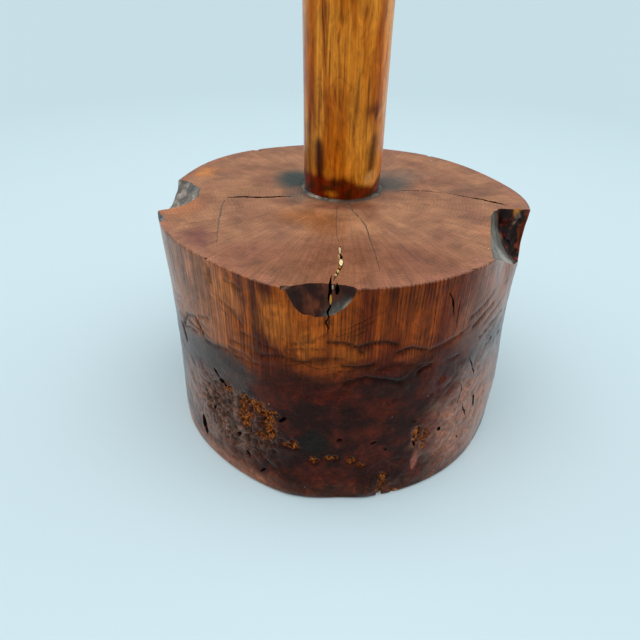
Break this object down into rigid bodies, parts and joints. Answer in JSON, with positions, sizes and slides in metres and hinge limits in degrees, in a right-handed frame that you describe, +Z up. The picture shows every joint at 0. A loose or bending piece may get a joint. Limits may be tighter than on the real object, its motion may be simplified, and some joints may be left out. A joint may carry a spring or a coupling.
{
  "type": "carving mallet",
  "caption": "Primitive carving mallet: a short round log head with a scalloped upper rim and burl side, on a whittled stick handle wedged and glued through its bore.",
  "frame": {"origin": "on the underside of the head, at the middle of the head's outline", "axes": "+Z up along the handle, away from the head; -Y is the side with the shallow front scallop; +X is the side with the long deep scallop"},
  "size_m": [0.1378, 0.1344, 0.27],
  "materials": {
    "log_wood": "old varnish over sawn and burl wood, orange brown above and dark maroon below, satin to gloss",
    "stick_wood": "varnished honey-coloured stick with dark streaks and a dark foot, gloss",
    "wedge_wood": "bare hardwood, sawn",
    "glue": "dried pale grey-green glue or filler"
  },
  "bodies": {
    "root": {"mallet_head": "log_wood", "handle": "stick_wood", "handle_wedge": "wedge_wood", "glue_bead": "glue"}
  },
  "joints": []
}
